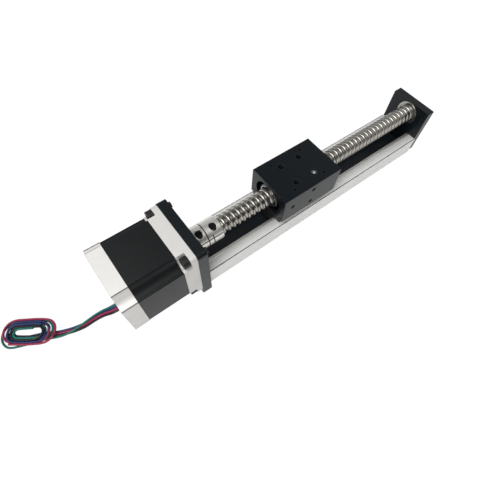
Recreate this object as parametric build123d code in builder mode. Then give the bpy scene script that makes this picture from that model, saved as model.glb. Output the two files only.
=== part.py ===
from build123d import *
import math
import os

# Ball screw linear module. Millimetres, +Z up.
# X runs along the screw with the motor at -X, Y runs across the base.
# The origin is the centre of the base profile's bottom face.

# base and axis
base_length = 260.0
base_width = 45.0
base_height = 18.0
axis_height = 36.5
running_clearance = 0.05
seat_clearance = 0.03

# guide rods and the channel that holds them
rod_radius = 3.0
rod_offset = 12.5
lip_edge = 14.0
lip_thickness = 0.8
rod_height = base_height - lip_thickness - math.sqrt(rod_radius**2 - (lip_edge - rod_offset) ** 2)
shelf_edge = 10.5
channel_floor = 4.5
edge_groove_width = 0.7
edge_groove_depth = 1.1
edge_groove_inset = 0.5

# base mounting holes, M5 tapped from below
base_hole_radius = 2.1
base_hole_spacing_x = 200.0
base_hole_spacing_y = 32.0
base_hole_depth = 10.0

# front plate, between the motor and the base
front_thickness = 8.0
front_width = 57.0
front_rise = 28.5
front_corner = 3.5
coupling_room = 3.0
end_screw_y = 17.0
end_screw_z = 9.0
end_tap_radius = 2.1
end_tap_depth = 12.0

# end plate with the free-end bearing
end_thickness = 8.0
end_width = 43.0
end_rise = 12.0
end_corner = 1.0
end_shoulder = 2.5
bearing_bore = 11.0
bearing_width = 6.0
bearing_inner = 7.2
bearing_outer_wall = 9.2

# motor
motor_square = 56.4
motor_flat = 37.6
cap_length = 12.0
stack_length = 35.3
bell_length = 11.7
bell_flange = 5.0
bell_corner = 4.0
stack_inset = 0.2
pocket_room = 0.6
motor_hole_spacing = 47.14
pilot_radius = 19.05
pilot_depth = 1.6
pilot_relief = 0.4
shaft_radius = 3.175
shaft_seat = 4.0

# lead wires of the motor, measured from the screw's axis
wire_diameter = 1.7
wire_pitch = 1.9
lead_exit_y = -4.0
lead_exit_z = -20.0
grommet_width = 10.4
grommet_height = 4.6
grommet_depth = 3.0
grommet_stand = 1.0
wire_names = ("lead_wire_green", "lead_wire_blue", "lead_wire_red", "lead_wire_black")
hank_length = 40.0
hank_width = 22.0
hank_strip = 7.5
hank_height = 6.0
hank_turn = 145.0
hank_x = -264.0
hank_y = 23.8

# screws
m5_radius = 2.5
m5_head_radius = 4.25
m5_head_length = 5.0
m5_socket = 4.0
head_sink = 0.2
head_clearance = 0.25
shank_clearance = 0.02
hole_clearance = 0.1
socket_share = 0.55
plate_grip = 10.0
m3_radius = 1.5
m3_head_radius = 2.75

# ball screw, right-hand, one start
lead = 5.0
screw_radius = 8.0
root_radius = 6.7
raceway_half_width = 1.5
groove_overcut = 0.4
thread_gap = 0.5
journal_radius = 5.0
journal_recess = 0.6
shoulder_radius = 6.4
coupling_seat_radius = 4.0
ring_radius = 6.7
ring_thickness = 0.9
ring_opening = 2.4

# coupling
coupling_radius = 10.0
coupling_length = 26.0
coupling_slit = 0.9
coupling_gap = 9.0
coupling_chamfer = 0.5
slit_one_at = 12.0
slit_two_at = 16.5
clamp_one_at = 7.0
clamp_two_at = 19.7
clamp_shank = 7.5
clamp_slit = 1.0
slit_web = 6.5

# carriage
carriage_length = 62.0
carriage_width = 43.0
carriage_drop = 13.0
carriage_height = 27.0
carriage_centre = -20.5
carriage_chamfer = 0.4
nut_radius = 11.0
nut_clearance = 0.25
nut_bore = screw_radius + nut_clearance
nut_inset = 0.5
nut_chamfer = 0.7
wiper_gap = 0.7
wiper_depth = 2.0
recess_half_width = 15.2
recess_half_height = 11.2
recess_depth = 8.0
top_hole_spacing = 20.0
m6_tap_radius = 2.5
m6_tap_depth = 5.8
m6_chamfer = 0.5
m4_tap_radius = 1.65
m4_tap_depth = 6.0
m3_tap_radius = 1.25
m3_tap_depth = 7.0
set_screw_depth = 1.2
set_screw_socket = 3.0
set_socket_depth = 2.0
small_hole_x = 16.0
small_hole_y = 15.5

# slider below the carriage
slider_plate_width = 37.0
slider_plate_gap = 0.7
slider_cap_length = 4.0
slider_upper_half = 13.5
slider_lower_half = 10.0
slider_bottom = 8.5

# heights that follow the screw's axis
front_height = axis_height + front_rise
end_height = axis_height + end_rise
carriage_bottom = axis_height - carriage_drop

# positions along X
base_start = -base_length / 2
base_end = base_length / 2
mount_face = base_start - front_thickness
bell_start = mount_face - bell_length
stack_start = bell_start - stack_length
cap_start = stack_start - cap_length
end_face = base_end + end_thickness
coupling_start = mount_face + coupling_gap
coupling_end = coupling_start + coupling_length
carriage_start = carriage_centre - carriage_length / 2
carriage_end = carriage_centre + carriage_length / 2
shaft_gap = 1.0
coupling_middle = coupling_start + coupling_length / 2
bearing_start = base_end


def across(x):
    # sketch plane square to the screw at x, local x along +Y and local y along +Z
    return Plane(origin=(x, 0, axis_height), x_dir=(0, 1, 0), z_dir=(1, 0, 0))


def section_at(x):
    # the same plane with its origin down on the base's bottom face
    return Plane(origin=(x, 0, 0), x_dir=(0, 1, 0), z_dir=(1, 0, 0))


def cap_screw(head_radius, head_length, shank_radius, shank_length, socket_width):
    # socket head cap screw, head along +Z from the origin, shank along -Z
    with BuildPart() as screw:
        with BuildSketch(Plane.XY):
            Circle(head_radius)
        extrude(amount=head_length)
        with BuildSketch(Plane.XY):
            Circle(shank_radius)
        extrude(amount=-shank_length)
        with BuildSketch(Plane.XY.offset(head_length)):
            RegularPolygon(socket_width / 2, 6, major_radius=False)
        extrude(amount=-head_length * socket_share, mode=Mode.SUBTRACT)
    return screw.part


os.makedirs("parts", exist_ok=True)

# base profile: an aluminium extrusion with a lip and a round seat for each guide rod
with BuildPart() as base_profile:
    with BuildSketch(section_at(base_start)):
        with Locations((0, base_height / 2)):
            Rectangle(base_width, base_height)
        # open channel between the rods
        with Locations((0, base_height)):
            Rectangle(2 * shelf_edge, 2 * (base_height - channel_floor), mode=Mode.SUBTRACT)
        # room above the rods, up to the lip's edge
        with Locations((0, base_height)):
            Rectangle(2 * lip_edge, 2 * (base_height - rod_height), mode=Mode.SUBTRACT)
        with Locations((rod_offset, rod_height), (-rod_offset, rod_height)):
            Circle(rod_radius + seat_clearance, mode=Mode.SUBTRACT)
        # narrow groove along the top, beside each outer wall
        groove_y = base_width / 2 - edge_groove_inset - edge_groove_width / 2
        with Locations((groove_y, base_height), (-groove_y, base_height)):
            Rectangle(edge_groove_width, 2 * edge_groove_depth, mode=Mode.SUBTRACT)
    extrude(amount=base_length)
    # tapped holes from below
    with BuildSketch(Plane.XY):
        with GridLocations(base_hole_spacing_x, base_hole_spacing_y, 2, 2):
            Circle(base_hole_radius)
    extrude(amount=base_hole_depth, mode=Mode.SUBTRACT)
    # tapped holes in both ends for the plate screws
    for x, direction in ((base_start, 1), (base_end, -1)):
        with BuildSketch(section_at(x)):
            with Locations((end_screw_y, end_screw_z), (-end_screw_y, end_screw_z)):
                Circle(end_tap_radius)
        extrude(amount=direction * end_tap_depth, mode=Mode.SUBTRACT)

# guide rods pressed into the profile
rod_parts = {}
for name, side in (("guide_rod_near", -1), ("guide_rod_far", 1)):
    with BuildPart() as rod:
        with BuildSketch(section_at(base_start)):
            with Locations((side * rod_offset, rod_height)):
                Circle(rod_radius)
        extrude(amount=base_length)
    rod_parts[name] = rod

# front plate: motor pilot, four tapped motor holes and two counterbored base holes
with BuildPart() as front_plate:
    with BuildSketch(section_at(mount_face)) as outline:
        with Locations((0, front_height / 2)):
            Rectangle(front_width, front_height)
        fillet(outline.vertices().group_by(Axis.Z)[-1], front_corner)
    extrude(amount=front_thickness)
    with BuildSketch(across(mount_face)):
        Circle(pilot_radius + seat_clearance)
    extrude(amount=pilot_depth + pilot_relief, mode=Mode.SUBTRACT)
    with BuildSketch(across(mount_face)):
        Circle(coupling_radius + coupling_room)
        with GridLocations(motor_hole_spacing, motor_hole_spacing, 2, 2):
            Circle(m5_radius)
    extrude(amount=front_thickness, mode=Mode.SUBTRACT)
    with BuildSketch(section_at(mount_face)):
        with Locations((end_screw_y, end_screw_z), (-end_screw_y, end_screw_z)):
            Circle(m5_radius)
    extrude(amount=front_thickness, mode=Mode.SUBTRACT)
    with BuildSketch(section_at(mount_face)):
        with Locations((end_screw_y, end_screw_z), (-end_screw_y, end_screw_z)):
            Circle(m5_head_radius + head_clearance)
    extrude(amount=m5_head_length + head_sink, mode=Mode.SUBTRACT)

# end plate with a blind seat for the bearing
with BuildPart() as end_plate:
    with BuildSketch(section_at(base_end)) as outline:
        with Locations((0, end_height / 2)):
            Rectangle(end_width, end_height)
        fillet(outline.vertices().group_by(Axis.Z)[-1], end_corner)
    extrude(amount=end_thickness)
    with BuildSketch(across(base_end)):
        Circle(bearing_bore + seat_clearance)
    extrude(amount=bearing_width, mode=Mode.SUBTRACT)
    with BuildSketch(across(base_end)):
        Circle(bearing_bore - end_shoulder)
    extrude(amount=end_thickness, mode=Mode.SUBTRACT)
    with BuildSketch(section_at(base_end)):
        with Locations((end_screw_y, end_screw_z), (-end_screw_y, end_screw_z)):
            Circle(m5_radius)
    extrude(amount=end_thickness, mode=Mode.SUBTRACT)
    with BuildSketch(section_at(end_face)):
        with Locations((end_screw_y, end_screw_z), (-end_screw_y, end_screw_z)):
            Circle(m5_head_radius + head_clearance)
    extrude(amount=-(m5_head_length + head_sink), mode=Mode.SUBTRACT)


def motor_outline(square, flat):
    # square with concave scalloped corners, drawn in the current sketch
    half = square / 2
    notch = half - flat / 2
    Rectangle(square, square)
    with GridLocations(square, square, 2, 2):
        Circle(notch, mode=Mode.SUBTRACT)


with BuildPart() as motor_rear_cap:
    with BuildSketch(across(cap_start)):
        motor_outline(motor_square, motor_flat)
    extrude(amount=cap_length)
    with BuildSketch(across(cap_start)):
        with Locations((lead_exit_y, lead_exit_z)):
            SlotOverall(grommet_width, grommet_height)
    extrude(amount=grommet_depth, mode=Mode.SUBTRACT)

with BuildPart() as motor_stack:
    with BuildSketch(across(stack_start)):
        motor_outline(motor_square - 2 * stack_inset, motor_flat - 2 * pocket_room)
    extrude(amount=stack_length)

# front bell: rounded flange, scalloped pockets behind it for the mounting screws, and the pilot
with BuildPart() as motor_front_bell:
    with BuildSketch(across(bell_start)):
        motor_outline(motor_square, motor_flat)
        with GridLocations(motor_hole_spacing, motor_hole_spacing, 2, 2):
            Circle(m5_head_radius + pocket_room, mode=Mode.SUBTRACT)
    extrude(amount=bell_length - bell_flange)
    with BuildSketch(across(mount_face - bell_flange)):
        RectangleRounded(motor_square, motor_square, bell_corner)
    extrude(amount=bell_flange)
    with BuildSketch(across(mount_face)):
        Circle(pilot_radius)
    extrude(amount=pilot_depth)
    with BuildSketch(across(mount_face - bell_flange)):
        with GridLocations(motor_hole_spacing, motor_hole_spacing, 2, 2):
            Circle(m5_radius + hole_clearance)
    extrude(amount=bell_flange, mode=Mode.SUBTRACT)
    with BuildSketch(across(mount_face + pilot_depth)):
        Circle(shaft_radius + running_clearance)
    extrude(amount=-shaft_seat, mode=Mode.SUBTRACT)

# four socket screws hold the motor flange: the tips of the upper pair stand out of the front
# plate, and the lower pair stops inside it, short of the base
motor_screw_tip = 2.0
upper_shank = bell_flange + front_thickness + motor_screw_tip
lower_shank = bell_flange + front_thickness - motor_screw_tip
flange_back = across(mount_face - bell_flange).location
heads_back = Location((0, 0, 0), (180, 0, 0))
with BuildPart() as motor_screws:
    for side in (-1, 1):
        for height, shank in ((1, upper_shank), (-1, lower_shank)):
            spot = Location((side * motor_hole_spacing / 2, height * motor_hole_spacing / 2, 0))
            screw = cap_screw(m5_head_radius, m5_head_length, m5_radius - shank_clearance, shank, m5_socket)
            add(screw.moved(flange_back * spot * heads_back))

plate_screw_length = front_thickness - m5_head_length - head_sink + plate_grip
plate_shank = end_tap_radius - shank_clearance
for_plate = cap_screw(m5_head_radius, m5_head_length, plate_shank, plate_screw_length, m5_socket)
plate_spots = ((end_screw_y, end_screw_z, 0), (-end_screw_y, end_screw_z, 0))

with BuildPart() as plate_screws:
    for spot in plate_spots:
        front_seat = section_at(mount_face + m5_head_length + head_sink).location * Location(spot)
        end_seat = section_at(end_face - m5_head_length - head_sink).location * Location(spot)
        add(for_plate.moved(front_seat * heads_back))
        add(for_plate.moved(end_seat))

# motor shaft, up to the middle of the coupling
with BuildPart() as motor_shaft:
    shaft_start = mount_face + pilot_depth - shaft_seat + running_clearance
    with BuildSketch(across(shaft_start)):
        Circle(shaft_radius)
    extrude(amount=coupling_middle - shaft_gap - shaft_start)

# clamp coupling, slit across and along, with a clamp screw at each end
slit_one = coupling_start + slit_one_at
slit_two = coupling_start + slit_two_at
clamp_angle = 157.0
clamp_one = coupling_start + clamp_one_at
clamp_two = coupling_start + clamp_two_at
with BuildPart() as coupling:
    with BuildSketch(across(coupling_start)):
        Circle(coupling_radius)
    extrude(amount=coupling_length)
    chamfer(coupling.edges().filter_by(GeomType.CIRCLE), coupling_chamfer)
    with BuildSketch(across(coupling_start)):
        Circle(shaft_radius + seat_clearance)
    extrude(amount=coupling_length / 2, mode=Mode.SUBTRACT)
    with BuildSketch(across(coupling_middle)):
        Circle(coupling_seat_radius + seat_clearance)
    extrude(amount=coupling_length / 2, mode=Mode.SUBTRACT)
    # cross slits from opposite sides, leaving a web each
    with BuildSketch(across(slit_one - coupling_slit / 2)):
        with Locations((0, coupling_radius - slit_web)):
            Rectangle(3 * coupling_radius, 2 * coupling_radius)
    extrude(amount=coupling_slit, mode=Mode.SUBTRACT)
    with BuildSketch(across(slit_two - coupling_slit / 2)):
        with Locations((0, slit_web - coupling_radius)):
            Rectangle(3 * coupling_radius, 2 * coupling_radius)
    extrude(amount=coupling_slit, mode=Mode.SUBTRACT)
    # lengthwise slit of both clamps
    with BuildSketch(across(coupling_start)):
        with Locations(Location((0, 0, 0), (0, 0, clamp_angle)) * Location((coupling_radius, 0, 0))):
            Rectangle(2 * coupling_radius, clamp_slit)
    extrude(amount=coupling_length, mode=Mode.SUBTRACT)

# clamp screws cross the lengthwise slit near its open edge
clamp_offset = 5.8
clamp_seat = 2.7
clamp_head_length = 2.0
clamp_socket = 2.0
clamp_frames = []
for x in (clamp_one, clamp_two):
    turned = across(x).location * Location((0, 0, 0), (0, 0, clamp_angle))
    clamp_frames.append(turned * Location((clamp_offset, 0, 0), (90, 0, 0)))
with BuildPart() as clamp_tool:
    with Locations((0, 0, clamp_seat)):
        Cylinder(m3_head_radius + head_clearance, coupling_radius, align=(Align.CENTER, Align.CENTER, Align.MIN))
    Cylinder(m3_radius + hole_clearance, 2 * (coupling_radius - coupling_seat_radius))
with coupling:
    for frame in clamp_frames:
        add(clamp_tool.part.moved(frame), mode=Mode.SUBTRACT)

m3_clamp = cap_screw(m3_head_radius, clamp_head_length, m3_radius, clamp_shank, clamp_socket)
with BuildPart() as coupling_screws:
    for frame in clamp_frames:
        add(m3_clamp.moved(frame * Location((0, 0, clamp_seat))))


def along(x):
    # plane that holds the screw's axis, local x along +X and local y along +Z, origin on the axis
    return Plane(origin=(x, 0, axis_height), x_dir=(1, 0, 0), z_dir=(0, -1, 0))


screw_axis = Axis((0, 0, axis_height), (1, 0, 0))

# the raceway is a right-hand helical groove, cut along the whole threaded length of the screw
thread_start = coupling_end + thread_gap
thread_end = base_end - thread_gap
thread_length = thread_end - thread_start
journal_end = end_face - journal_recess
helix_start = thread_start - lead / 2
groove_depth = screw_radius - root_radius
groove_top_half_width = raceway_half_width * (groove_depth + groove_overcut) / groove_depth
with BuildPart() as raceway:
    with BuildLine() as helix:
        Helix(pitch=lead, height=thread_length + lead, radius=screw_radius,
              center=(helix_start, 0, axis_height), direction=(1, 0, 0))
    first_point = helix.line @ 0
    outward = first_point - Vector(helix_start, 0, axis_height)
    with BuildSketch(Plane(origin=first_point, x_dir=outward, z_dir=helix.line % 0)):
        with BuildLine():
            Polyline(
                (groove_overcut, -groove_top_half_width),
                (-groove_depth, 0),
                (groove_overcut, groove_top_half_width),
                close=True,
            )
        make_face()
    sweep(path=helix.line, is_frenet=True)

# ball screw: the threaded length, then a seat for the coupling, a shoulder and a journal
seat_start = coupling_middle + shaft_gap
with BuildPart() as ball_screw:
    with BuildSketch(across(thread_start)):
        Circle(screw_radius)
    extrude(amount=thread_length)
    add(raceway.part, mode=Mode.SUBTRACT)
    for x, radius, end in (
        (seat_start, coupling_seat_radius, thread_start),
        (thread_end, shoulder_radius, bearing_start),
        (bearing_start, journal_radius, journal_end),
    ):
        with BuildSketch(across(x)):
            Circle(radius)
        extrude(amount=end - x)

# deep groove bearing at the free end, with its shields carried by the outer ring
shield_depth = 0.5
shield_inner = bearing_inner + running_clearance
with BuildPart() as end_bearing_outer:
    with BuildSketch(along(bearing_start)):
        with Locations((bearing_width / 2, (bearing_bore + bearing_outer_wall) / 2)):
            Rectangle(bearing_width, bearing_bore - bearing_outer_wall)
        with Locations((bearing_width / 2, (bearing_outer_wall + shield_inner) / 2)):
            Rectangle(bearing_width - 2 * shield_depth, bearing_outer_wall - shield_inner)
    revolve(axis=screw_axis)

with BuildPart() as end_bearing_inner:
    with BuildSketch(across(bearing_start)):
        Circle(bearing_inner)
        Circle(journal_radius + seat_clearance, mode=Mode.SUBTRACT)
    extrude(amount=bearing_width)

with BuildPart() as end_retaining_ring:
    with BuildSketch(across(bearing_start + bearing_width)):
        Circle(ring_radius)
        Circle(journal_radius + seat_clearance, mode=Mode.SUBTRACT)
        with Locations((0, -ring_radius)):
            Rectangle(ring_opening, ring_radius, mode=Mode.SUBTRACT)
    extrude(amount=ring_thickness)

# carriage block, bored along the screw for the nut, with tapped holes in the top and near side
carriage_top = carriage_bottom + carriage_height
set_x = carriage_centre + top_hole_spacing / 2
set_y = top_hole_spacing / 2
top_face = Plane(origin=(carriage_centre, 0, carriage_top))
near_face = Plane(origin=(carriage_centre, -carriage_width / 2, axis_height), x_dir=(1, 0, 0),
                  z_dir=(0, -1, 0))
side_holes = ((-21.0, 1.0), (1.0, 8.0), (1.0, -8.0))
with BuildPart() as carriage_block:
    with BuildSketch(section_at(carriage_start)):
        with Locations((0, carriage_bottom + carriage_height / 2)):
            Rectangle(carriage_width, carriage_height)
        with Locations((0, axis_height)):
            Circle(nut_radius + seat_clearance, mode=Mode.SUBTRACT)
    extrude(amount=carriage_length)
    chamfer(carriage_block.edges().filter_by(Axis.X).group_by(Axis.Z)[-1], carriage_chamfer)
    # each mouth of the bore widens to a slot, so that the nut can be reached from both sides
    for x, direction in ((carriage_start, 1), (carriage_end, -1)):
        with BuildSketch(across(x)):
            SlotOverall(2 * recess_half_width, 2 * recess_half_height)
        extrude(amount=direction * recess_depth, mode=Mode.SUBTRACT)
    # four tapped holes with countersunk mouths
    with BuildSketch(top_face):
        with GridLocations(top_hole_spacing, top_hole_spacing, 2, 2):
            Circle(m6_tap_radius)
    extrude(amount=-m6_tap_depth, mode=Mode.SUBTRACT)
    mouths = carriage_block.edges().filter_by(GeomType.CIRCLE).group_by(Axis.Z)[-1]
    chamfer(mouths, m6_chamfer)
    # one of the four goes through to the nut
    with BuildSketch(top_face):
        with Locations((top_hole_spacing / 2, -set_y)):
            Circle(m6_tap_radius)
    extrude(amount=-carriage_height / 2, mode=Mode.SUBTRACT)
    with BuildSketch(top_face):
        with GridLocations(2 * small_hole_x, 2 * small_hole_y, 2, 2):
            Circle(m3_tap_radius)
    extrude(amount=-m3_tap_depth, mode=Mode.SUBTRACT)
    with BuildSketch(near_face):
        with Locations(*side_holes):
            Circle(m4_tap_radius)
    extrude(amount=-m4_tap_depth, mode=Mode.SUBTRACT)

# ball nut, almost as long as the block, its ends bored wider for the wipers
nut_half_length = carriage_length / 2 - nut_inset
wiper_bore = nut_bore + wiper_gap
with BuildPart() as ball_nut:
    with BuildSketch(along(carriage_centre)):
        with BuildLine():
            Polyline(
                (0, nut_bore),
                (nut_half_length - wiper_depth, nut_bore),
                (nut_half_length - wiper_depth, wiper_bore),
                (nut_half_length, wiper_bore),
                (nut_half_length, nut_radius - nut_chamfer),
                (nut_half_length - nut_chamfer, nut_radius),
                (0, nut_radius),
            )
            mirror(about=Plane.YZ)
        make_face()
    revolve(axis=screw_axis)

# set screw in one of the top holes, bearing on the nut
set_bottom = axis_height + math.sqrt(nut_radius**2 - (set_y - m6_tap_radius) ** 2)
set_top = carriage_top - set_screw_depth
with BuildPart() as nut_set_screw:
    with BuildSketch(Plane.XY.offset(set_bottom)):
        with Locations((set_x, -set_y)):
            Circle(m6_tap_radius - seat_clearance)
    extrude(amount=set_top - set_bottom)
    with BuildSketch(Plane.XY.offset(set_top)):
        with Locations((set_x, -set_y)):
            RegularPolygon(set_screw_socket / 2, 6, major_radius=False)
    extrude(amount=-set_socket_depth, mode=Mode.SUBTRACT)

# slider under the carriage: a plate, and a block with a round groove for each rod
plate_bottom = base_height + slider_plate_gap


def slider_section(rod_gap):
    with Locations((0, (plate_bottom + carriage_bottom) / 2)):
        Rectangle(slider_plate_width, carriage_bottom - plate_bottom)
    with Locations((0, (rod_height + plate_bottom) / 2)):
        Rectangle(2 * slider_upper_half, plate_bottom - rod_height)
    with Locations((0, (slider_bottom + rod_height) / 2)):
        Rectangle(2 * slider_lower_half, rod_height - slider_bottom)
    with Locations((rod_offset, rod_height), (-rod_offset, rod_height)):
        Circle(rod_radius + rod_gap, mode=Mode.SUBTRACT)


with BuildPart() as slider_block:
    with BuildSketch(section_at(carriage_start + slider_cap_length)):
        slider_section(running_clearance)
    extrude(amount=carriage_length - 2 * slider_cap_length)

with BuildPart() as slider_caps:
    for x in (carriage_start, carriage_end - slider_cap_length):
        with BuildSketch(section_at(x)):
            slider_section(2 * running_clearance)
        extrude(amount=slider_cap_length)

# recessed case screws in the motor's rear cap
case_screw_spot = 19.3
case_recess = 2.5
case_head_depth = 0.5
cross_length = 3.4
cross_width = 0.7
cross_depth = 1.2
with motor_rear_cap:
    with BuildSketch(across(cap_start)):
        with GridLocations(2 * case_screw_spot, 2 * case_screw_spot, 2, 2):
            Circle(m3_head_radius + head_clearance)
    extrude(amount=case_recess, mode=Mode.SUBTRACT)
with BuildPart() as motor_case_screws:
    with BuildSketch(across(cap_start + case_head_depth)):
        with GridLocations(2 * case_screw_spot, 2 * case_screw_spot, 2, 2):
            Circle(m3_head_radius)
    extrude(amount=case_recess - case_head_depth)
    with BuildSketch(across(cap_start + case_head_depth)):
        with GridLocations(2 * case_screw_spot, 2 * case_screw_spot, 2, 2):
            Rectangle(cross_length, cross_width)
            Rectangle(cross_width, cross_length)
    extrude(amount=cross_depth, mode=Mode.SUBTRACT)

# rubber grommet where the lead wires leave the rear cap
with BuildPart() as motor_grommet:
    with BuildSketch(across(cap_start - grommet_stand)):
        with Locations((lead_exit_y, lead_exit_z)):
            SlotOverall(grommet_width - 2 * seat_clearance, grommet_height - 2 * seat_clearance)
    extrude(amount=grommet_stand + grommet_depth)

# four lead wires side by side: out of the grommet, down to the table and along it to the hank
wire_exit = cap_start - grommet_stand
lead_height = axis_height + lead_exit_z
on_table = wire_diameter / 2
wire_route = (
    (0.0, 0.0, lead_height),
    (-6.0, 0.0, lead_height),
    (-13.0, 3.6, lead_height - 4.6),
    (-21.5, 6.6, lead_height - 10.6),
    (-30.5, 8.2, on_table + 1.2),
    (-39.5, 9.4, on_table),
    (-48.0, 11.4, on_table),
    (-57.0, 15.0, on_table),
)
wires = {}
for index, name in enumerate(wire_names):
    offset = (1.5 - index) * wire_pitch
    points = [Vector(wire_exit + x, lead_exit_y + offset + y, z) for x, y, z in wire_route]
    radii = []
    for before, here, after in zip(points, points[1:], points[2:]):
        turn = (here - before).get_angle(after - here)
        shorter = min((here - before).length, (after - here).length)
        radii.append(0.45 * shorter / math.tan(math.radians(turn / 2)))
    with BuildPart() as wire:
        with BuildLine() as path:
            FilletPolyline(*points, radius=radii)
        with BuildSketch(Plane(origin=points[0], z_dir=points[1] - points[0])):
            RegularPolygon(wire_diameter / 2, 8)
        sweep(path=path.wires()[0])
    length = path.wires()[0].length
    section = 2 * math.sqrt(2) * (wire_diameter / 2) ** 2
    print(name, "radii", [round(r, 1) for r in radii], "length", round(length, 1),
          "volume ratio", round(wire.part.volume / (section * length), 4))
    wires[name] = wire

# the rest of the wires, wound into a loose oval hank on the table
with BuildPart() as lead_hank:
    with BuildSketch(Plane.XY):
        with Locations(Location((hank_x, hank_y, 0), (0, 0, hank_turn))):
            SlotOverall(hank_length, hank_width)
            SlotOverall(hank_length - 2 * hank_strip, hank_width - 2 * hank_strip, mode=Mode.SUBTRACT)
    extrude(amount=hank_height)

# write the pieces
pieces = {
    "base_profile": base_profile,
    "guide_rod_near": rod_parts["guide_rod_near"],
    "guide_rod_far": rod_parts["guide_rod_far"],
    "front_plate": front_plate,
    "end_plate": end_plate,
    "motor_rear_cap": motor_rear_cap,
    "motor_stack": motor_stack,
    "motor_front_bell": motor_front_bell,
    "motor_screws": motor_screws,
    "plate_screws": plate_screws,
    "motor_shaft": motor_shaft,
    "coupling": coupling,
    "coupling_screws": coupling_screws,
    "ball_screw": ball_screw,
    "end_bearing_outer": end_bearing_outer,
    "end_bearing_inner": end_bearing_inner,
    "end_retaining_ring": end_retaining_ring,
    "carriage_block": carriage_block,
    "ball_nut": ball_nut,
    "nut_set_screw": nut_set_screw,
    "slider_block": slider_block,
    "slider_caps": slider_caps,
    "motor_case_screws": motor_case_screws,
    "motor_grommet": motor_grommet,
    **wires,
    "lead_hank": lead_hank,
}
for name, piece in pieces.items():
    piece.part.label = name
    export_step(piece.part, f"parts/{name}.step")
    print(name, round(piece.part.volume, 1), len(piece.solids()), piece.part.is_valid)
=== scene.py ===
import bpy, bmesh, math
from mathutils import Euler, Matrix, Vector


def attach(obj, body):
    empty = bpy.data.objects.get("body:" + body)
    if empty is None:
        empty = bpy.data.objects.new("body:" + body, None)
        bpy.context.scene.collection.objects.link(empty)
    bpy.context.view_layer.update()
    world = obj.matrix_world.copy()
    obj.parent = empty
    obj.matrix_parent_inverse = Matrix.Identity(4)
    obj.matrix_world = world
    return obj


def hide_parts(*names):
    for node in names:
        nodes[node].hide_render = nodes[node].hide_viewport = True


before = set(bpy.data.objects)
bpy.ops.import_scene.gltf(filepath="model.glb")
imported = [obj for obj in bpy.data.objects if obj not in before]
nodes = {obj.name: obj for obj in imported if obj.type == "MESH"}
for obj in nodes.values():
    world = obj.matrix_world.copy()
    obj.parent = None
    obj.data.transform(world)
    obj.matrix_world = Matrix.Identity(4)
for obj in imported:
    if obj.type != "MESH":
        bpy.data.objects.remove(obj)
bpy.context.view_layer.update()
scene = bpy.context.scene

# sizes of the CAD part that the looks depend on, in its own millimetres

MM = 0.001
AXIS_Z = 36.5

CHANNEL_HALF = 11.2
LIP = (14.0, 20.6)
LIP_TOP = 17.9
EDGE_GROOVE = (21.3, 22.0)

MOTOR_HALF = 28.2
MOTOR_FLAT_HALF = 18.8
STACK_HALF = 28.0
STACK_FLAT_HALF = 18.2

COUPLING_START = -128.3
COUPLING_END = -103.7
COUPLING_SKIN = 9.3

NUT_RIM = (8.97, 9.5)
CARRIAGE_X = -20.5
TOP_HOLES_FROM = 42.0
SIDE_HOLES_FROM = -14.5
SIDE_HOLES = ((-19.5, 44.5), (-19.5, 28.5), (-41.5, 37.5))
SIDE_HOLE = 2.1
# each square of holes in the carriage's top: half its length, half its width, the holes' radius
TOP_SQUARES = ((10.0, 10.0, 3.5), (16.0, 15.5, 1.7))

LEAD = 5.0
OUTER = 8.0
ROOT = 6.69
BALL = 1.6
BALL_CENTRE = 8.3
THREAD_START = -102.5
THREAD_END = 129.5
GROOVE_AT = -105.0
GROOVE_HALF = math.sqrt(BALL**2 - (BALL_CENTRE - OUTER) ** 2)
HELIX_START = GROOVE_AT - 2 * LEAD - LEAD / 4 + GROOVE_HALF


# camera and picture

CAMERA_PLACE = (-0.18269, -0.12742, 0.27786)
CAMERA_TURN = (28.0389, -2.7886, -37.4530)
CAMERA_LENS = 25.31


def fitted_camera():
    """The camera that puts the part's edges where the photo has them."""
    data = bpy.data.cameras.new("camera")
    data.sensor_width = 36.0
    data.lens = CAMERA_LENS
    data.clip_start = 0.01
    data.clip_end = 20.0
    camera = bpy.data.objects.new("camera", data)
    scene.collection.objects.link(camera)
    camera.location = CAMERA_PLACE
    camera.rotation_euler = Euler([math.radians(angle) for angle in CAMERA_TURN])
    scene.camera = camera


fitted_camera()
scene.view_settings.view_transform = "Standard"


# node helpers

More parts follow.
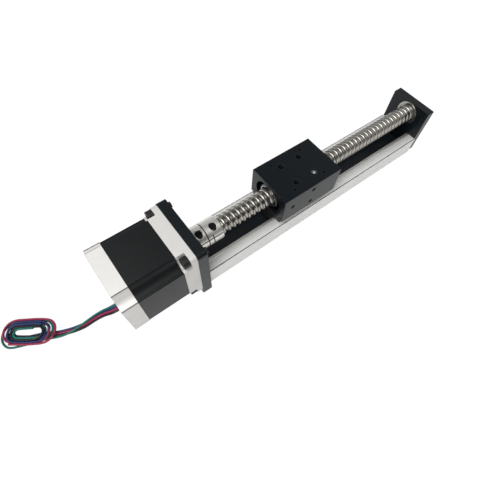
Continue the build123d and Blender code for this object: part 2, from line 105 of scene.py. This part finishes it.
class Nodes:
    """A short way to write a node tree."""

    def __init__(self, tree):
        self.tree = tree

    def add(self, kind, inputs=None, **settings):
        node = self.tree.nodes.new(kind)
        for key, value in settings.items():
            setattr(node, key, value)
        for key, value in (inputs or {}).items():
            self.set(node, key, value)
        return node

    def set(self, node, key, value):
        socket = node.inputs[key]
        if isinstance(value, bpy.types.NodeSocket):
            self.tree.links.new(value, socket)
        else:
            socket.default_value = value

    def math(self, operation, a, b=0.0):
        return self.add("ShaderNodeMath", {0: a, 1: b}, operation=operation).outputs[0]

    def product(self, first, *others):
        for other in others:
            first = self.math("MULTIPLY", first, other)
        return first

    def minus(self, a, b):
        return self.math("SUBTRACT", a, b)

    def above(self, value, limit):
        return self.math("GREATER_THAN", value, limit)

    def below(self, value, limit):
        return self.math("LESS_THAN", value, limit)

    def length(self, a, b):
        squares = self.math("ADD", self.product(a, a), self.product(b, b))
        return self.math("SQRT", squares)

    def alike(self, a, b):
        """The dot product of two directions."""
        return self.add("ShaderNodeVectorMath", {0: a, 1: b}, operation="DOT_PRODUCT").outputs["Value"]

    def coords(self, scale=(1, 1, 1)):
        spot = self.add("ShaderNodeTexCoord").outputs["Object"]
        return self.add("ShaderNodeMapping", {"Vector": spot, "Scale": scale}).outputs[0]

    def place(self):
        """The X, Y and Z of a spot on the piece."""
        return self.add("ShaderNodeSeparateXYZ", {0: self.coords()}).outputs

    def noise(self, scale, detail=3.0, rough=0.5, stretch=(1, 1, 1)):
        node = self.add("ShaderNodeTexNoise", {"Vector": self.coords(stretch), "Scale": scale,
                                               "Detail": detail, "Roughness": rough})
        return node.outputs["Fac"]

    def span(self, value, low, high, low_at=0.3, high_at=0.7):
        """Runs from low to high while the value runs from low_at to high_at."""
        node = self.add("ShaderNodeMapRange", {"Value": value, "From Min": low_at, "From Max": high_at,
                                               "To Min": low, "To Max": high})
        return node.outputs[0]

    def mix(self, share, a, b):
        return self.add("ShaderNodeMix", {0: share, 6: a, 7: b}, data_type="RGBA").outputs[2]

    def brightness(self, tone, value):
        return self.add("ShaderNodeHueSaturation", {"Color": tone, "Value": value}).outputs[0]


def colour(r, g, b):
    return (r, g, b, 1.0)


def grey(level):
    return colour(level, level, level)


# masks: places on a piece painted dark, 1 where it is dark; mostly painted shade in recesses, grooves and
# creases, and on the nut its black seal with painted shade around it

# the colour of the painted shade, also the nut seal's own black
SHADE_AND_SEAL_COLOUR = colour(0.003, 0.007, 0.0105)
MASK_ROUGH = 0.45
# painted shade in the base's channel and edge grooves: its fade at the channel's side, the slack at the
# grooves, the share painted in the far side's groove, and the height below which none is painted
CHANNEL_FADE = 0.3
GROOVE_SLACK = 0.02
FAR_GROOVE_SHARE = 0.25
UNDERSIDE = 1.0
# painted shade lines along the motor's corner creases: their width, their darkness, and how near the outer
# side they lie
CORNER_LINE = (0.15, 0.45)
CORNER_DEPTH = 0.75
CORNER_SKIN = 1.0
# painted shade lines along the raceway's edges: their width, their darkness, and the radius above which they
# are painted
RACEWAY_SHADE_LINE = (0.12, 0.30)
RACEWAY_SHADE_DEPTH = 0.8
RACEWAY_SHADE_FROM = ROOT + 0.03


def axis_distance(n, place):
    """The distance from the screw's axis."""
    return n.length(n.minus(place["Z"], AXIS_Z * MM), place["Y"])


def channel_mask(n):
    """Painted shade in the channel between the guide rods and in the narrow groove along each top edge,
    darker in the near side's groove.
    """
    place = n.place()
    across = n.math("ABSOLUTE", place["Y"])
    channel = n.span(across, 1.0, 0.0, CHANNEL_HALF * MM, (CHANNEL_HALF + CHANNEL_FADE) * MM)
    groove = n.product(n.above(across, (EDGE_GROOVE[0] - GROOVE_SLACK) * MM),
                       n.below(across, (EDGE_GROOVE[1] + GROOVE_SLACK) * MM),
                       n.below(place["Z"], LIP_TOP * MM),
                       n.span(place["Y"], 1.0, FAR_GROOVE_SHARE, -MM, MM))
    return n.product(n.math("MAXIMUM", channel, groove), n.above(place["Z"], UNDERSIDE * MM))


def corner_mask(n, half, flat_half):
    """Painted shade: thin dark lines where the motor's flat sides meet its hollow corners."""
    place = n.place()
    across = n.math("ABSOLUTE", place["Y"])
    up = n.math("ABSOLUTE", n.minus(place["Z"], AXIS_Z * MM))
    total = 0.0
    for along_side, outwards in ((across, up), (up, across)):
        off = n.math("ABSOLUTE", n.minus(along_side, flat_half * MM))
        line = n.span(off, CORNER_DEPTH, 0.0, CORNER_LINE[0] * MM, CORNER_LINE[1] * MM)
        at_side = n.above(outwards, (half - CORNER_SKIN) * MM)
        total = n.math("MAXIMUM", total, n.product(line, at_side))
    return total


def cap_mask(n):
    return corner_mask(n, MOTOR_HALF, MOTOR_FLAT_HALF)


def stack_mask(n):
    return corner_mask(n, STACK_HALF, STACK_FLAT_HALF)


def coupling_mask(n):
    """Painted shade in the slits and screw holes below the coupling's turned skin."""
    place = n.place()
    return n.product(n.below(axis_distance(n, place), COUPLING_SKIN * MM),
                     n.above(place["X"], COUPLING_START * MM), n.below(place["X"], COUPLING_END * MM))


def wiper_mask(n):
    """The black seal face on both sides of the nut's bright rim, and painted shade on the nut's steel further
    out, sunk in the carriage's bore.
    """
    away = axis_distance(n, n.place())
    return n.math("MAXIMUM", n.above(away, NUT_RIM[1] * MM), n.below(away, NUT_RIM[0] * MM))


def hole_mask(n):
    """Painted shade in the threaded holes of the carriage's top and near side."""
    place = n.place()
    in_top = n.above(place["Z"], TOP_HOLES_FROM * MM)
    in_side = n.below(place["Y"], SIDE_HOLES_FROM * MM)
    holes = [(x, z, SIDE_HOLE, place["Z"], in_side) for x, z in SIDE_HOLES]
    for half_length, half_width, radius in TOP_SQUARES:
        for x in (CARRIAGE_X - half_length, CARRIAGE_X + half_length):
            holes += [(x, y, radius, place["Y"], in_top) for y in (-half_width, half_width)]
    total = 0.0
    for x, other, radius, across, inside in holes:
        away = n.length(n.minus(place["X"], x * MM), n.minus(across, other * MM))
        total = n.math("MAXIMUM", total, n.product(n.below(away, radius * MM), inside))
    return total


def thread_mask(n):
    """Thin lines of painted shade along both edges of the raceway."""
    place = n.place()
    up = n.minus(place["Z"], AXIS_Z * MM)
    turn = n.math("DIVIDE", n.math("ARCTAN2", up, place["Y"]), 2 * math.pi)
    along = n.math("DIVIDE", n.minus(place["X"], HELIX_START * MM), LEAD * MM)
    phase = n.math("FRACT", n.minus(along, turn))
    to_start = n.math("MINIMUM", phase, n.minus(1.0, phase))
    to_groove = n.math("ABSOLUTE", n.minus(phase, 1.0 - 2 * GROOVE_HALF / LEAD))
    nearest = n.math("MINIMUM", to_start, to_groove)
    line = n.span(nearest, RACEWAY_SHADE_DEPTH, 0.0, RACEWAY_SHADE_LINE[0] / LEAD, RACEWAY_SHADE_LINE[1] / LEAD)
    return n.product(line, n.above(axis_distance(n, place), RACEWAY_SHADE_FROM * MM))


# materials

BEVEL_SAMPLES = 4
# the colour along a piece's edges: real wear where it is lighter than the piece, painted shade where it is
# darker
WEAR_AND_SHADE_WIDTH = 2.2
WEAR_AND_SHADE_BEND = (0.86, 0.98)
WEAR_AND_SHADE_GRAIN = 900.0
WEAR_AND_SHADE_LEAST = 0.35
# how bright the painted light leaves the base's lips, from the guide rods out to the ridge
LIP_PAINTED_LIGHT = (0.70, 1.02)
CLOUDS = (40.0, 4.0, 0.6)
FINE_DETAIL = (2.0, 0.6)


def wear_and_shade_on_edges(n, tone, edge, edge_wear_and_shade):
    """Mixes the edge colour into the tone along the piece's edges, in a broken line: real wear where it is
    lighter than the piece, painted shade where it is darker, as on the cast motor parts.
    """
    *edge_colour, strength = edge_wear_and_shade
    bent = n.add("ShaderNodeBevel", {"Radius": edge * WEAR_AND_SHADE_WIDTH}, samples=BEVEL_SAMPLES).outputs[0]
    flat = n.add("ShaderNodeNewGeometry").outputs["Normal"]
    rim = n.span(n.alike(bent, flat), 1.0, 0.0, *WEAR_AND_SHADE_BEND)
    broken = n.product(rim, n.span(n.noise(WEAR_AND_SHADE_GRAIN), WEAR_AND_SHADE_LEAST, 1.0))
    return n.mix(n.product(broken, strength), tone, colour(*edge_colour))


def lip_painted_light(n, tone):
    """Painted light on the base's lips: painted shade towards the guide rods and a painted highlight along
    their outer ridge.
    """
    across = n.math("ABSOLUTE", n.place()["Y"])
    return n.brightness(tone, n.span(across, *LIP_PAINTED_LIGHT, LIP[0] * MM, LIP[1] * MM))


def material(name, base, metallic, rough, spread=0.05, grain=3000.0, stretch=(1, 1, 1), bump=0.1,
             depth=0.00002, edge=0.00025, edge_wear_and_shade=None, tint=0.12, specular=0.5, mask=None):
    """A surface with varied colour and roughness, fine relief along a direction and rounded edges."""
    mat = bpy.data.materials.new(name)
    mat.use_nodes = True
    n = Nodes(mat.node_tree)
    bsdf = mat.node_tree.nodes["Principled BSDF"]
    fine = n.noise(grain, *FINE_DETAIL, stretch)
    roughness = n.span(fine, rough - spread, rough + spread)
    tone = n.brightness(colour(*base), n.span(n.noise(*CLOUDS), 1.0 - tint, 1.0 + tint))
    # edge colour: real wear, and painted shade where it is darker than the piece
    if edge_wear_and_shade:
        tone = wear_and_shade_on_edges(n, tone, edge, edge_wear_and_shade)
    # painted shade and painted highlight across the base's lips
    if mask is channel_mask:
        tone = lip_painted_light(n, tone)
    # darkens the mask's places: painted shade, and on the nut also its black seal
    if mask:
        inside = mask(n)
        tone = n.mix(inside, tone, SHADE_AND_SEAL_COLOUR)
        metallic = n.product(metallic, n.minus(1.0, inside))
    if mask in (hole_mask, coupling_mask):
        roughness = n.math("ADD", roughness, n.product(inside, MASK_ROUGH))
    n.set(bsdf, "Base Color", tone)
    n.set(bsdf, "Metallic", metallic)
    n.set(bsdf, "Roughness", roughness)
    n.set(bsdf, "Specular IOR Level", specular)
    rounded = n.add("ShaderNodeBevel", {"Radius": edge}, samples=BEVEL_SAMPLES).outputs[0]
    relief = n.add("ShaderNodeBump", {"Strength": bump, "Distance": depth, "Height": fine,
                                      "Normal": rounded})
    n.set(bsdf, "Normal", relief.outputs[0])
    return mat


def black_anodised(name, mask=None):
    return material(name, (0.0015, 0.0045, 0.0070), metallic=0.0, rough=0.38, spread=0.04, grain=4200.0,
                    bump=0.2, edge=0.00035, edge_wear_and_shade=(0.05, 0.055, 0.06, 0.35), tint=0.08, specular=0.32,
                    mask=mask)


def wire_plastic(name, base):
    return material(name, base, metallic=0.0, rough=0.42, spread=0.04, grain=2500.0, bump=0.04,
                    edge=0.0001, tint=0.10, specular=0.35)


# painted shade from the masks: in the carriage's holes, the base's channel and edge grooves, the motor's
# corner creases, the raceway's edges, the coupling's slits and holes, and on the nut's steel around its black
# seal; painted light across the base's lips
anodised = black_anodised("black_anodised")
carriage_black = black_anodised("carriage_anodised", mask=hole_mask)
profile = material("extruded_aluminium", (0.84, 0.84, 0.82), metallic=0.28, rough=0.44, grain=2600.0,
                   stretch=(0.02, 1, 1), bump=0.2, edge_wear_and_shade=(0.95, 0.95, 0.95, 0.4), tint=0.04, mask=channel_mask)
# the cast motor parts' dark edge colour is painted shade along their edges
cast = material("cast_aluminium", (0.765, 0.748, 0.722), metallic=0.35, rough=0.46, grain=2600.0,
                bump=0.25, depth=0.00003, edge_wear_and_shade=(0.22, 0.20, 0.18, 0.95), tint=0.04, mask=cap_mask)
bell_cast = material("bell_aluminium", (0.715, 0.70, 0.675), metallic=0.35, rough=0.48, grain=2600.0,
                     bump=0.3, depth=0.00003, edge_wear_and_shade=(0.30, 0.28, 0.26, 0.7), tint=0.06)
lamination = material("black_laminations", (0.0085, 0.0095, 0.0100), metallic=0.0, rough=0.34, spread=0.04,
                      grain=1600.0, stretch=(1, 0.02, 0.02), bump=0.35, edge_wear_and_shade=(0.12, 0.12, 0.12, 0.3),
                      tint=0.06, specular=0.2, mask=stack_mask)
rod_steel = material("guide_rod_steel", (0.66, 0.655, 0.63), metallic=0.8, rough=0.36, grain=3500.0,
                     stretch=(0.03, 1, 1), bump=0.12)
thread_steel = material("ball_screw_steel", (0.41, 0.39, 0.355), metallic=1.0, rough=0.20, spread=0.03,
                        bump=0.04, edge=0.00003, tint=0.04, mask=thread_mask)
nut_steel = material("nut_steel", (0.66, 0.655, 0.64), metallic=1.0, rough=0.25, stretch=(1, 0.2, 0.2),
                     tint=0.05, mask=wiper_mask)
set_steel = material("set_screw_steel", (0.36, 0.36, 0.36), metallic=0.9, rough=0.22, edge=0.0002)
bearing = material("bearing_steel", (0.46, 0.45, 0.42), metallic=1.0, rough=0.26, spread=0.04, bump=0.05,
                   tint=0.04)
turned = material("coupling_aluminium", (0.76, 0.74, 0.70), metallic=0.8, rough=0.34, grain=2200.0,
                  stretch=(1, 0.04, 0.04), bump=0.25, tint=0.04, mask=coupling_mask)
black_screw = material("black_oxide_screw", (0.012, 0.012, 0.012), metallic=0.2, rough=0.42,
                       edge=0.00018, edge_wear_and_shade=(0.20, 0.19, 0.18, 0.6))
black_plastic = material("black_plastic", (0.015, 0.015, 0.016), metallic=0.0, rough=0.5, grain=2500.0,
                         bump=0.3)
rubber = material("grommet_rubber", (0.16, 0.155, 0.15), metallic=0.0, rough=0.6, spread=0.06,
                  grain=2500.0, bump=0.3)

finish_of = {
    "base_profile": profile, "guide_rod_near": rod_steel, "guide_rod_far": rod_steel,
    "front_plate": anodised, "end_plate": anodised, "motor_rear_cap": cast, "motor_stack": lamination,
    "motor_front_bell": bell_cast, "motor_screws": black_screw, "plate_screws": black_screw,
    "motor_shaft": bearing, "coupling": turned, "coupling_screws": black_screw,
    "end_bearing_outer": bearing, "end_bearing_inner": bearing, "end_retaining_ring": black_screw,
    "carriage_block": carriage_black, "ball_nut": nut_steel, "nut_set_screw": set_steel,
    "slider_block": anodised, "slider_caps": black_plastic, "motor_case_screws": black_screw,
    "motor_grommet": rubber,
}
for name, finish in finish_of.items():
    for slot in nodes[name].material_slots:
        slot.material = finish


# ball screw: the raceway is a right-hand helix with a round groove between flat lands

ROUND_STEPS = 64
GROOVE_STEPS = 12
EDGE_BREAK = 0.08
EDGE_WIDTH = 0.1
THREAD_BEVEL = 0.7
OVERLAP = 0.02
SAME_SPOT = 1e-7
SHARP_ANGLE = math.radians(30.0)
SCREW_SEAT = 4.0
SHOULDER = 6.4
JOURNAL = 5.0
# the plain ends as (x, radius): the seat in the coupling, and the journal in the free end's bearing
SEAT_END = ((-115.0, SCREW_SEAT - 0.4), (-114.6, SCREW_SEAT), (THREAD_START - 0.1, SCREW_SEAT),
            (THREAD_START - 0.1, ROOT), (THREAD_START + OVERLAP, ROOT))
JOURNAL_END = ((THREAD_END - OVERLAP, ROOT), (THREAD_END + 0.06, SHOULDER), (130.0, SHOULDER),
               (130.0, JOURNAL), (136.9, JOURNAL), (137.4, JOURNAL - 0.5))


def on_screw(x, radius, angle):
    """A point at that distance from the screw's axis, in metres."""
    return (x * MM, radius * math.cos(angle) * MM, (AXIS_Z + radius * math.sin(angle)) * MM)


def groove_profile():
    """One lead's land and groove, as distances along the screw and radii."""
    land = LEAD - 2 * GROOVE_HALF
    rim = OUTER - EDGE_BREAK
    points = [(0.0, rim), (EDGE_WIDTH, OUTER), (land / 2, OUTER), (land - EDGE_WIDTH, OUTER)]
    for i in range(GROOVE_STEPS):
        off = -GROOVE_HALF + 2 * GROOVE_HALF * i / GROOVE_STEPS
        radius = BALL_CENTRE - math.sqrt(max(BALL**2 - off * off, 0.0))
        points.append((land + GROOVE_HALF + off, min(radius, rim)))
    return points


def helical_screw():
    """The threaded length, with its surface cut off and bevelled at both ends."""
    outline = groove_profile()
    count = int(math.ceil((THREAD_END - HELIX_START) / LEAD) + 1) * ROUND_STEPS
    bm = bmesh.new()
    rows = []
    for k in range(count + ROUND_STEPS + 1):
        row = []
        for along, radius in outline:
            x = HELIX_START + LEAD * k / ROUND_STEPS + along
            held = min(max(x, THREAD_START), THREAD_END)
            room = min(held - THREAD_START, THREAD_END - held) + OUTER - THREAD_BEVEL
            row.append(bm.verts.new(on_screw(held, min(radius, room), 2 * math.pi * k / ROUND_STEPS)))
        rows.append(row)
    for k in range(count):
        here = rows[k] + [rows[k + ROUND_STEPS][0]]
        ahead = rows[k + 1] + [rows[k + ROUND_STEPS + 1][0]]
        for j in range(len(outline)):
            bm.faces.new((here[j], ahead[j], ahead[j + 1], here[j + 1]))
    bmesh.ops.remove_doubles(bm, verts=bm.verts, dist=SAME_SPOT)
    return bm


def add_turned_end(bm, outline):
    """Adds a turned solid about the screw's axis."""
    rings = []
    for x, radius in outline:
        angles = [2 * math.pi * i / ROUND_STEPS for i in range(ROUND_STEPS)]
        rings.append([bm.verts.new(on_screw(x, radius, angle)) for angle in angles])
    for low, high in zip(rings, rings[1:]):
        for i in range(ROUND_STEPS):
            after = (i + 1) % ROUND_STEPS
            bm.faces.new((low[i], low[after], high[after], high[i]))
    bm.faces.new(list(reversed(rings[0])))
    bm.faces.new(rings[-1])


def mesh_piece(name, bm, mat, body):
    """A smooth piece with sharp edges kept, which rides on a body."""
    mesh = bpy.data.meshes.new(name)
    bm.to_mesh(mesh)
    bm.free()
    for face in mesh.polygons:
        face.use_smooth = True
    mesh.set_sharp_from_angle(angle=SHARP_ANGLE)
    mesh.materials.append(mat)
    piece = bpy.data.objects.new(name, mesh)
    scene.collection.objects.link(piece)
    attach(piece, body)
    return piece


screw_mesh = helical_screw()
add_turned_end(screw_mesh, SEAT_END)
add_turned_end(screw_mesh, JOURNAL_END)
bmesh.ops.recalc_face_normals(screw_mesh, faces=screw_mesh.faces)
screw_piece = mesh_piece("ball_screw_raceway", screw_mesh, thread_steel, "screw")
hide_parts("ball_screw")


# lead wires: four cords from the grommet to a loose hank on the table

WIRE = 1.7
EXIT_X = -198.0
EXIT_Y = -4.0
HANK = Vector((-264.0, 23.8, 0.0))
HANK_TURN = math.radians(145.0)
ALONG = Vector((math.cos(HANK_TURN), math.sin(HANK_TURN), 0.0))
SIDE = Vector((-math.sin(HANK_TURN), math.cos(HANK_TURN), 0.0))

route = ((0.0, 0.0, 16.5), (-6.0, 0.0, 16.5), (-13.0, 3.6, 11.9), (-21.5, 6.6, 5.9), (-30.5, 8.2, 2.05),
         (-39.5, 10.2, 0.85), (-48.9, 13.7, 0.85), (-56.6, 18.5, 0.85))

wire_colours = {
    "green": (0.005, 0.125, 0.10),
    "blue": (0.013, 0.023, 0.105),
    "red": (0.27, 0.015, 0.058),
    "black": (0.010, 0.009, 0.010),
}
# how far each wire lies to the side of the route's points, and how far it rises over the others there
sideways = {
    "green": (2.85, 2.85, 2.2, 1.8, 0.9, -1.1, -2.4, -2.7),
    "blue": (0.95, 0.95, 0.8, 0.8, 1.75, 2.3, 2.6, 2.7),
    "red": (-0.95, -0.95, -0.5, -0.4, 0.0, 0.6, 0.9, 0.9),
    "black": (-2.85, -2.85, -1.8, -1.5, -1.75, -1.1, -0.9, -0.9),
}
rises = {
    "green": (0, 0, 1.0, 1.5, 1.8, 1.7, 0.5, 0),
    "blue": (0, 0, 0, 0, 0, 0, 0, 0),
    "red": (0, 0, 1.2, 1.2, 0, 0, 0, 0),
    "black": (0, 0, 0, 0, 0, 0, 0, 0),
}
# each wire's turns: radius, the far end's and the near end's distance and the sideways shift
hank = {
    "green": ((10.95, 9.0, 9.4, 0.85), (5.6, 7.2, 7.8, -1.3), (3.6, 6.2, 6.0, 0.9)),
    "blue": ((4.7, 7.4, 7.6, 0.0), (7.3, 8.2, 8.6, -1.3), (6.9, 7.6, 8.2, 0.9)),
    "red": ((6.5, 7.9, 8.6, 0.0), (9.1, 9.6, 11.4, -1.3), (9.4, 8.8, 9.6, -0.1)),
    "black": ((8.3, 8.5, 9.0, 0.0), (4.0, 6.8, 7.2, -1.3), (5.1, 6.6, 7.4, 0.9)),
}
# the extra height, in layers, with which a wire crosses its neighbours after its first turn
first_hump = {"green": 0.0, "blue": 1.0, "red": 1.0, "black": 0.0}
# how many points of the hank each wire takes until its length is used up
hank_points = {"green": 42, "blue": 43, "red": 35, "black": 48}
TABLE_LEVEL = 0.9
LAYER = 1.8
END_STEPS = 6
MIDDLE_LANE = 7.3
# points of the straight stretches: the place along the hank and the step aside, then for the way in the
# share of the wire's lane, and for the way back the climb in layers
WAY_IN = ((-5.0, 3.9, 0.95), (2.0, 5.6, 1.0))
WAY_OUT = ((-6.0, 0.0), (1.0, 0.2))
WAY_BACK = ((3.0, 0.0, 0.0), (-4.0, 0.2, 0.3))


def hank_turns(name):
    """Turns of a loose oval, each climbing over the bundle where it comes in between them."""
    points = []
    turns = hank[name]
    for turn, (radius, far, near, shift) in enumerate(turns):
        level = TABLE_LEVEL + LAYER * turn
        next_radius, _, _, next_shift = turns[min(turn + 1, len(turns) - 1)]
        if turn == 0:
            lane = radius - MIDDLE_LANE
            hump = first_hump[name]
            points += [(along, aside + share * lane, level) for along, aside, share in WAY_IN]
        else:
            hump = 0.0
            points += [(along, shift + radius + aside, level) for along, aside in WAY_OUT]
        for step in range(END_STEPS):
            angle = math.pi / 2 - math.pi * (step + 0.5) / END_STEPS
            points.append((far + radius * math.cos(angle), shift + radius * math.sin(angle), level))
        for along, aside, climb in WAY_BACK:
            points.append((along, shift - radius - aside, level + LAYER * climb))
        for step in range(END_STEPS):
            share = (step + 0.5) / END_STEPS
            angle = -math.pi / 2 - math.pi * share
            bend = radius + (next_radius - radius) * share
            middle = shift + (next_shift - shift) * share
            climb = min((step + 3) / END_STEPS, 1.0) + hump * math.sin(math.pi * share)
            points.append((-near + bend * math.cos(angle), middle + bend * math.sin(angle),
                           level + LAYER * climb))
    return points[:hank_points[name]]


def lead_wire(name, base):
    """One wire along its route and through its turns, as a cord with closed ends."""
    control = []
    for (x, y, z), aside, rise in zip(route, sideways[name], rises[name]):
        control.append(Vector((EXIT_X + x, EXIT_Y + y + aside, z + rise)))
    for a, b, z in hank_turns(name):
        control.append(HANK + ALONG * a + SIDE * b + Vector((0, 0, z)))
    curve = bpy.data.curves.new("wire_" + name, "CURVE")
    curve.dimensions = "3D"
    curve.bevel_depth = WIRE / 2 * MM
    curve.bevel_resolution = 6
    curve.resolution_u = 8
    curve.use_fill_caps = True
    spline = curve.splines.new("NURBS")
    spline.points.add(len(control) - 1)
    for point, place in zip(spline.points, control):
        point.co = (*(place * MM), 1.0)
    spline.order_u = 3
    spline.use_endpoint_u = True
    curve.materials.append(wire_plastic("wire_" + name, base))
    wire = bpy.data.objects.new("wire_" + name, curve)
    scene.collection.objects.link(wire)
    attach(wire, "base")
    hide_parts("lead_wire_" + name, "lead_hank")


for name, base in wire_colours.items():
    lead_wire(name, base)


# the floor is grey to the lamps and nearly white to the eye and in reflections

FLOOR_HALF = 4.0
FLOOR_Z = -0.0002
FLOOR_GREY = 0.50
FLOOR_ROUGH = 0.8
FLOOR_SHINE = 0.1
FLOOR_GLOW = 1.13
FLOOR_GLOW_SHARE = 0.86


def white_floor():
    mat = bpy.data.materials.new("floor_white")
    mat.use_nodes = True
    n = Nodes(mat.node_tree)
    bsdf = mat.node_tree.nodes["Principled BSDF"]
    n.set(bsdf, "Base Color", grey(FLOOR_GREY))
    n.set(bsdf, "Roughness", FLOOR_ROUGH)
    n.set(bsdf, "Specular IOR Level", FLOOR_SHINE)
    glow = n.add("ShaderNodeEmission", {"Color": grey(1.0), "Strength": FLOOR_GLOW})
    path = n.add("ShaderNodeLightPath").outputs
    seen = n.math("MAXIMUM", path["Is Camera Ray"], path["Is Glossy Ray"])
    chosen = n.add("ShaderNodeMixShader", {0: n.product(seen, FLOOR_GLOW_SHARE), 1: bsdf.outputs[0],
                                           2: glow.outputs[0]})
    n.set(mat.node_tree.nodes["Material Output"], "Surface", chosen.outputs[0])
    return mat


def table():
    corners = [(x * FLOOR_HALF, y * FLOOR_HALF, 0.0) for x, y in ((-1, -1), (1, -1), (1, 1), (-1, 1))]
    mesh = bpy.data.meshes.new("floor")
    mesh.from_pydata(corners, [], [(0, 1, 2, 3)])
    mesh.materials.append(white_floor())
    floor = bpy.data.objects.new("floor", mesh)
    floor.location.z = FLOOR_Z
    scene.collection.objects.link(floor)
    return floor


table()


# the studio: pale walls with two darker parts, one overhead beyond the part and one low on the near side

WALL = 0.66
HORIZON_SHARE = 0.52
FULL_HEIGHT = 0.6
# each dark part: its direction, its level, and how alike a direction is at its outer and inner limit
DARK_PARTS = (((0.29, 0.38, 0.88), 0.10, 0.84, 0.96), ((0.29, -0.85, 0.44), 0.03, 0.86, 0.96))


def studio_walls():
    world = bpy.data.worlds.new("studio")
    scene.world = world
    world.use_nodes = True
    n = Nodes(world.node_tree)
    direction = n.add("ShaderNodeTexCoord").outputs["Generated"]
    height = n.add("ShaderNodeSeparateXYZ", {0: direction}).outputs["Z"]
    level = n.span(height, WALL * HORIZON_SHARE, WALL, 0.0, FULL_HEIGHT)
    for centre, dark, outer, inner in DARK_PARTS:
        level = n.product(level, n.span(n.alike(direction, centre), 1.0, dark / WALL, outer, inner))
    wall = n.add("ShaderNodeCombineColor", {"Red": level, "Green": level, "Blue": level}).outputs[0]
    sight = n.add("ShaderNodeLightPath").outputs["Is Camera Ray"]
    background = world.node_tree.nodes["Background"]
    n.set(background, "Color", n.mix(sight, wall, grey(1.0)))
    n.set(background, "Strength", 1.0)


def softbox(name, place, width, height, power):
    """A rectangular lamp that faces the part."""
    data = bpy.data.lights.new(name, "AREA")
    data.shape = "RECTANGLE"
    data.size = width
    data.size_y = height
    data.energy = power
    light = bpy.data.objects.new(name, data)
    scene.collection.objects.link(light)
    light.location = place
    light.rotation_euler = (-Vector(place)).to_track_quat("-Z", "Y").to_euler()


studio_walls()
softbox("key_softbox", (-0.70, -0.34, 1.15), width=0.9, height=0.8, power=10.0)
softbox("top_softbox", (-0.45, 0.35, 1.2), width=0.6, height=0.6, power=3.0)
